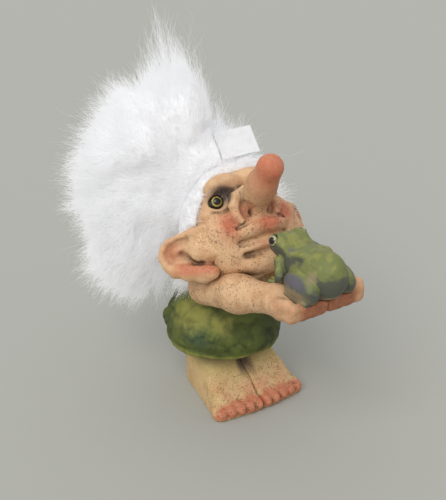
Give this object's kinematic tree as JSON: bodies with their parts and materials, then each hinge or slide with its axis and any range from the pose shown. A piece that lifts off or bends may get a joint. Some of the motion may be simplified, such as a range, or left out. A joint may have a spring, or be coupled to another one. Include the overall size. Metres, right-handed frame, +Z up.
{
  "type": "troll figure",
  "caption": "Moulded troll figure with glass eyes, a long nose and a swept fur wig, holding a frog up to its face on both palms.",
  "frame": {"origin": "on the floor, under the middle of the tunic, at the seam between the two soles", "axes": "+Z up; the figure faces -Y; +X is its left side"},
  "size_m": [0.0946, 0.1398, 0.1717],
  "materials": {
    "skin": "painted and antiqued, dull",
    "tunic": "painted olive green, dull",
    "frog_skin": "painted mottled green, satin",
    "glass_eye": "clear glass over a gold iris",
    "frog_glass_eye": "clear glass over a cream iris",
    "fur": "long white fur pile",
    "wig_cloth": "knitted backing cloth",
    "tag_card": "plain white card"
  },
  "bodies": {
    "root": {"right_leg": "skin", "left_leg": "skin", "torso_core": "skin", "tunic": "tunic", "right_arm": "skin", "left_arm": "skin", "head": "skin", "right_ear": "skin", "left_ear": "skin", "right_eye": "glass_eye", "left_eye": "glass_eye", "frog_body": "frog_skin", "frog_left_eye": "frog_glass_eye", "frog_right_eye": "frog_glass_eye", "wig_backing": "wig_cloth", "wig_fringe": "fur", "wig_pile": "fur", "nape_fur": "fur", "tag_back_leaf": "tag_card"},
    "tag_leaf": {"tag_front_leaf": "tag_card"}
  },
  "joints": [
    {"name": "tag_fold", "type": "hinge", "parent": "root", "child": "tag_leaf", "pos_m": [0, 0.00893, 0.12278], "axis": [-1, 0, 0], "range_deg": [0, 110]}
  ]
}
